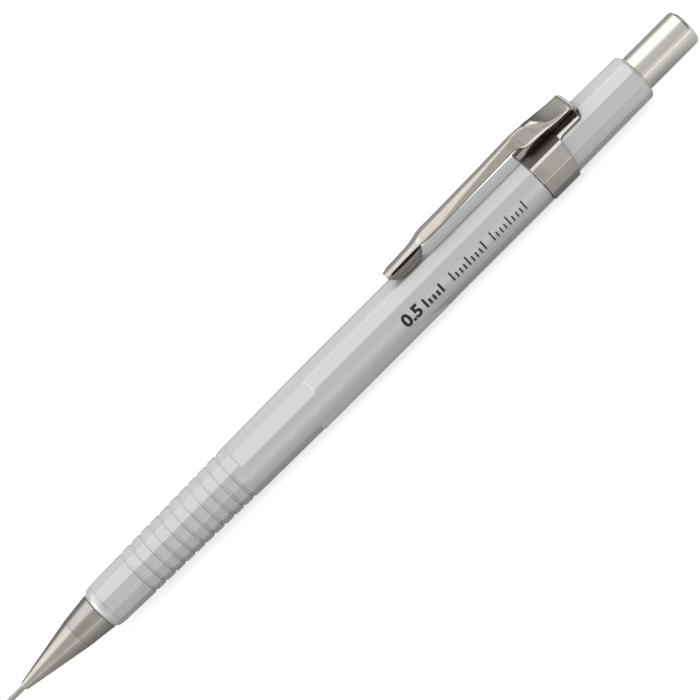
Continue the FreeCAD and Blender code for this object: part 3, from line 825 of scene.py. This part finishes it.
def leg_row(x, z, half, flat, wrap):
    """One row across the fold or leg, its sides turned down over the next facets by wrap."""
    slope = math.tan(math.radians(FACET)) * wrap
    return [(x, y * half, z - slope * max(abs(y * half) - LEG_FLAT, 0)) for y in flat]


def sheet_object(name, rows, thickness):
    """A sheet of even thickness whose outer side runs through rows of points.

    The arm's inner side and rim are dark with painted shade; past the fold the inner side is the
    bright one.
    """
    width = len(rows[0])
    points = [point for row in rows for point in row]
    faces = []
    for row in range(len(rows) - 1):
        for column in range(width - 1):
            a = row * width + column
            faces.append((a, a + 1, a + width + 1, a + width))
    piece = make_object(name, points, faces, CLIP_METAL, sharp=180)
    if piece.data.polygons[len(faces) // 8].normal.z < 0:
        piece.data.flip_normals()
    piece.data.materials.append(CLIP_PAINTED_SHADE)
    piece.data.materials.append(CLIP_METAL)
    # Painted shade on the arm's edge strip in front of the roof and, from halfway round the fold, on
    # the sheet's outer side
    for face in piece.data.polygons:
        row, column = divmod(face.index, width - 1)
        rim = min(column, width - 2 - column) < RIM_COLUMNS and rows[row][0][0] < ROOF_START
        if rim or row >= ARM_STEPS + FOLD_STEPS // 2:
            face.material_index = 1
    solid = piece.modifiers.new("thickness", "SOLIDIFY")
    solid.material_offset = 1
    solid.thickness = thickness * MM
    solid.offset = -1
    solid.use_even_offset = False
    bevel = piece.modifiers.new("rim", "BEVEL")
    bevel.width = 0.05 * MM
    bevel.segments = 2
    bevel.limit_method = "ANGLE"
    bevel.angle_limit = math.radians(60)
    return piece


# Angles from +Z between which the band gets painted shade, for the shade under the roof
BAND_SHADE = (7.5, 36)


def band_object():
    """Twelve-sided band round the barrel's neck, its rear edge slanted and its lip rolled."""
    start = span("clip_band")[0]
    angles = facet_angles()
    outer, inner = 4.72, 4.34
    rear = [116.95 + 0.7 * math.cos(math.radians(angle)) for angle in angles]
    outside = [[around(start + shift, facet_radius(outer - drop, angle), angle)
                for angle in angles]
               for shift, drop in ((0, 0.30), (0, 0.06), (0.04, 0.015), (0.10, 0))]
    for share in (0.25, 0.5, 0.75):
        outside.append([around(lerp(start, last, share), facet_radius(outer, angle), angle)
                        for angle, last in zip(angles, rear)])
    for shift, drop in ((-0.10, 0), (-0.04, 0.015), (0, 0.06), (0, 0.30)):
        outside.append([around(last + shift, facet_radius(outer - drop, angle), angle)
                        for angle, last in zip(angles, rear)])
    inside = [[around(last, facet_radius(inner, angle), angle)
               for angle, last in zip(angles, rear)],
              [around(start, facet_radius(inner, angle), angle) for angle in angles]]
    points, faces = loft(outside + inside, close_rows=True)
    band = make_object("clip_band_ring", points, faces, CLIP_METAL, sharp=50)
    band.data.materials.append(CLIP_PAINTED_SHADE)
    # Painted shade on the band's faces under the roof
    for face in band.data.polygons:
        if BAND_SHADE[0] < math.degrees(math.atan2(abs(face.center.y), face.center.z)) < BAND_SHADE[1]:
            face.material_index = 1
    return band


# Near half of the foot's widest cross-section, as (half-width, height), rim to keel
FOOT_HALF = [(0.90, 6.10), (1.20, 6.40), (1.31, 6.50), (1.42, 6.42), (1.49, 6.20), (1.51, 5.88),
             (1.46, 5.48), (1.37, 5.08), (1.26, 4.76), (1.08, 4.56), (0.75, 4.47), (0, 4.455)]
# x, then how much of the full depth and of the full width the foot has there
FOOT_SHAPE = [(85.15, 0.16, 0.60), (85.25, 0.30, 0.74), (85.5, 0.50, 0.84), (86.0, 0.74, 0.92),
              (86.8, 0.92, 0.97), (88.0, 0.99, 1.0), (89.2, 1.0, 1.0), (90.1, 0.95, 0.98),
              (90.8, 0.80, 0.93), (91.3, 0.58, 0.85), (91.7, 0.34, 0.72), (91.95, 0.14, 0.58)]


def foot_object():
    """The boat-shaped foot under the arm's end, in nickel darkened with painted shade."""
    top = FOOT_HALF[2][1]
    rows = []
    first, last = FOOT_SHAPE[0][0], FOOT_SHAPE[-1][0]
    for step in range(57):
        x = lerp(first, last, step / 56)
        window = [table(min(max(x + shift, first), last), FOOT_SHAPE)
                  for shift in (-0.12, 0, 0.12)]
        depth, width = [sum(column) / len(window) for column in zip(*window)]
        half = [(-y * width, top - (top - z) * depth) for y, z in FOOT_HALF]
        ring = half + [(-y, z) for y, z in reversed(half[:-1])]
        rows.append([(x, y, z) for y, z in ring])
    points, faces = loft(rows)
    return make_object("clip_foot_boat", points, faces, CLIP_FOOT_PAINTED_SHADE, sharp=50)


def web_object():
    """The web that joins the foot to the arm, set back so that a dark slit shows, and coloured with
    painted shade.
    """
    rows = []
    for x, half, low in ((85.1, 0.5, 6.0), (85.6, 0.6, 5.9), (88.0, 0.6, 6.0), (91.6, 0.6, 6.0)):
        high = table(x, ARM)[3] - 0.1
        rows.append([(x, -half, low), (x, half, low), (x, half, high), (x, -half, high)])
    points, faces = loft(rows)
    return make_object("clip_web", points, faces, CLIP_PAINTED_SHADE, sharp=30)


def make_clip():
    arm = sheet_object("pocket_clip", arm_sections(), SHEET)
    parts = [arm, band_object(), foot_object(), web_object()]
    finishes = [CLIP_METAL, CLIP_PAINTED_SHADE, CLIP_FOOT_PAINTED_SHADE]
    depsgraph = bpy.context.evaluated_depsgraph_get()
    joined = bmesh.new()
    for part in parts:
        evaluated = part.evaluated_get(depsgraph)
        mesh = evaluated.to_mesh()
        for face in mesh.polygons:
            face.material_index = finishes.index(part.material_slots[face.material_index].material)
        joined.from_mesh(mesh)
        evaluated.to_mesh_clear()
    mesh = bpy.data.meshes.new("pocket_clip_mesh")
    joined.to_mesh(mesh)
    joined.free()
    for finish in finishes:
        mesh.materials.append(finish)
    for part in parts:
        bpy.data.objects.remove(part)
    clip = bpy.data.objects.new("pocket_clip_sheet", mesh)
    bpy.context.collection.objects.link(clip)
    mesh.set_sharp_from_angle(angle=math.radians(40))
    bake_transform(clip)
    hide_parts("clip_band", "clip_arm")


# ---- CAD pieces that keep their shape -----------------------------------------------------

CARRIED = {
    "lead_retainer": RUBBER, "clutch_ring": BRASS, "chuck_body": BRASS, "chuck_jaw_1": BRASS,
    "chuck_jaw_2": BRASS, "chuck_jaw_3": BRASS, "guide_bush": ACETAL,
    "chuck_connector": ACETAL, "lead_reservoir": TUBE, "cleanout_pin": SPRING_STEEL,
    "lead": GRAPHITE, "spare_leads": GRAPHITE,
}


def dress_cad_pieces():
    for node, material in CARRIED.items():
        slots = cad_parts[node].material_slots
        for slot in slots:
            slot.material = material


# ---- Floor, light and camera --------------------------------------------------------------

def make_floor():
    """Pale paper: bright to the camera, and a mid grey to light and reflections."""
    size = 3000
    floor_z = min(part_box("barrel")[0][2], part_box("clip_band")[0][2]) / MM - 0.02
    points = [(-size, -size, floor_z), (size, -size, floor_z), (size, size, floor_z),
              (-size, size, floor_z)]
    shader = Shader("pale_floor", (0.9, 0.9, 0.9), 0.9, Specular_IOR_Level=0.1)
    fibre = shader.noise(shader.stretched(0.03, 0.03, 0.03), scale=1, detail=2)
    seen = shader.add("LightPath").outputs["Is Camera Ray"]
    tone = shader.add("Mix", data_type="RGBA")
    shader.link(seen, tone.inputs["Factor"])
    parts = shader.add("SeparateXYZ")
    shader.link(shader.place, parts.inputs[0])
    depth = shader.remap(parts.outputs["Y"], *FLOOR_BOUNCE, from_low=-0.09, from_high=0.03)
    gain = shader.remap(parts.outputs["X"], 1, FLOOR_CAP_GAIN, from_low=0.1, from_high=0.13)
    shader.link(shader.math("MULTIPLY", depth, gain), tone.inputs[6])
    shader.vary_color(fibre, 0.99, 1.01)
    shader.link(shader.surface.inputs["Base Color"].links[0].from_socket, tone.inputs[7])
    shader.link(tone.outputs[2], shader.surface.inputs["Base Color"])
    shader.surface.inputs["Emission Color"].default_value = (1, 1, 1, 1)
    shader.link(shader.math("MULTIPLY", seen, FLOOR_GLOW),
                shader.surface.inputs["Emission Strength"])
    floor = make_object("floor", points, [(0, 1, 2, 3)], shader.material)
    floor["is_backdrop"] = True


FLOOR_BOUNCE = (0.90, 0.34)
FLOOR_CAP_GAIN = 1.25
FLOOR_GLOW = 0.62
TENT_STRENGTH = 2.5
# Brightness of the tent by angle round the pencil, from +Z (0) towards the camera (positive)
TENT = [(-180, 0.20), (-95, 0.22), (-78, 0.30), (-60, 0.44), (-50, 0.52), (-44, 1.04),
        (-28, 1.20), (-8, 1.24), (13, 1.14), (21, 0.70), (32, 0.56), (60, 0.52), (78, 0.60),
        (90, 0.74), (95, 0.50), (180, 0.30)]
# The soft part of the tent's light, which reaches matt surfaces under the clip from behind
TENT_SOFT = [(-180, 0.3), (-112, 0.5), (-92, 1.3), (-55, 1.8), (-30, 1.3), (-20, 0.7),
             (20, 0.7), (40, 0.66), (85, 0.62), (110, 0.5), (180, 0.3)]
# The same along the pencil, from the tip's side (-1) to the cap's side (1)
TENT_LENGTH = [(-1, 2.4), (-0.8, 2.3), (-0.73, 1.0), (-0.62, 0.9), (-0.54, 1.3),
               (-0.42, 1.15), (-0.33, 0.97), (-0.2, 0.95), (0.05, 0.97), (0.13, 1.12), (0.26, 1.1), (0.45, 0.66), (0.65, 0.42), (1, 0.40)]


def tent_ramp(nodes, stops, low, high):
    """A grey ramp through (position, brightness) stops, with positions from low to high."""
    ramp = nodes.new("ShaderNodeValToRGB")
    elements = ramp.color_ramp.elements
    while len(elements) > 1:
        elements.remove(elements[0])
    for index, (position, grey) in enumerate(stops):
        share = (position - low) / (high - low)
        element = elements[0] if index == 0 else elements.new(share)
        element.position = share
        element.color = (grey / TENT_STRENGTH,) * 3 + (1,)
    return ramp


def make_world():
    """A studio tent: bright just behind overhead, darker low down and towards the cap."""
    world = bpy.data.worlds.new("studio")
    bpy.context.scene.world = world
    world.use_nodes = True
    nodes, links = world.node_tree.nodes, world.node_tree.links
    background = next(node for node in nodes if node.type == "BACKGROUND")
    place = nodes.new("ShaderNodeTexCoord")
    parts = nodes.new("ShaderNodeSeparateXYZ")
    links.new(place.outputs["Generated"], parts.inputs[0])

    def calculate(operation, first, second):
        node = nodes.new("ShaderNodeMath")
        node.operation = operation
        for socket, value in zip(node.inputs, (first, second)):
            if isinstance(value, (int, float)):
                socket.default_value = value
            else:
                links.new(value, socket)
        return node.outputs[0]

    front = calculate("MULTIPLY", parts.outputs["Y"], -1)
    angle = calculate("ARCTAN2", front, parts.outputs["Z"])
    turn = calculate("ADD", calculate("MULTIPLY", angle, 1 / math.tau), 0.5)
    around_ramp = tent_ramp(nodes, TENT, -180, 180)
    links.new(turn, around_ramp.inputs["Fac"])
    length = calculate("ADD", calculate("MULTIPLY", parts.outputs["X"], 0.5), 0.5)
    length_ramp = tent_ramp(nodes, TENT_LENGTH, -1, 1)
    links.new(length, length_ramp.inputs["Fac"])
    product = nodes.new("ShaderNodeVectorMath")
    product.operation = "MULTIPLY"
    links.new(around_ramp.outputs["Color"], product.inputs[0])
    links.new(length_ramp.outputs["Color"], product.inputs[1])
    soft_ramp = tent_ramp(nodes, TENT_SOFT, -180, 180)
    links.new(turn, soft_ramp.inputs["Fac"])
    soft = nodes.new("ShaderNodeVectorMath")
    soft.operation = "SCALE"
    links.new(soft_ramp.outputs["Color"], soft.inputs[0])
    soft.inputs["Scale"].default_value = 1 / TENT_STRENGTH
    chosen = nodes.new("ShaderNodeMix")
    chosen.data_type = "RGBA"
    links.new(nodes.new("ShaderNodeLightPath").outputs["Is Diffuse Ray"], chosen.inputs["Factor"])
    links.new(product.outputs[0], chosen.inputs[6])
    links.new(soft.outputs[0], chosen.inputs[7])
    links.new(chosen.outputs[2], background.inputs["Color"])
    background.inputs["Strength"].default_value = TENT_STRENGTH ** 2


def add_softbox(name, direction, distance, width, height, watts, mirrored=False):
    """A rectangular area light facing the pencil; a mirrored one shows only in reflections."""
    low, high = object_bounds()
    middle = (Vector(low) + Vector(high)) / 2
    data = bpy.data.lights.new(name, "AREA")
    data.shape = "RECTANGLE"
    data.size = width * MM
    data.size_y = height * MM
    data.energy = watts
    light = bpy.data.objects.new(name, data)
    bpy.context.collection.objects.link(light)
    light.location = middle + Vector(direction).normalized() * distance * MM
    light.rotation_euler = (middle - light.location).to_track_quat("-Z", "Y").to_euler()
    light.visible_glossy = mirrored
    light.visible_diffuse = not mirrored


def make_camera():
    """Looks down at 38 degrees with the pencil running corner to corner."""
    target = Vector((73.7, 0.685, 0.886)) * MM
    back = Vector((0, -0.791, 0.6115)).normalized()
    across = back.cross(Vector((1, 0, 0))).normalized()
    right = (Vector((1, 0, 0)) - across).normalized()
    up = (Vector((1, 0, 0)) + across).normalized()
    if right.cross(up).dot(back) < 0:
        right, up = up, right
    data = bpy.data.cameras.new("camera")
    data.lens = 133.7
    data.sensor_width = 36
    data.clip_start = 0.01
    camera = bpy.data.objects.new("camera", data)
    bpy.context.collection.objects.link(camera)
    turn = Matrix((right, up, back)).transposed().to_4x4()
    camera.matrix_world = Matrix.Translation(target + back * 387 * MM) @ turn
    bpy.context.scene.camera = camera


make_barrel()
make_size_mark()
make_scale_marks()
make_label()
make_cone()
make_pipe()
make_cap()
make_spring()
make_eraser()
make_ferrule()
make_clip()
dress_cad_pieces()
make_floor()
make_world()
add_softbox("key", (-0.1, 0.35, 0.93), 900, 900, 300, 0.4)
add_softbox("back", (0, 0.85, 0.5), 900, 900, 300, 0.8)
add_softbox("bend_strip", (0.62, 0.77, 0.1), 900, 220, 220, 0.18, mirrored=True)
add_softbox("fill", (-0.25, -0.96, 0.1), 900, 500, 500, 0.8)
make_camera()
bpy.context.scene.view_settings.view_transform = "Standard"
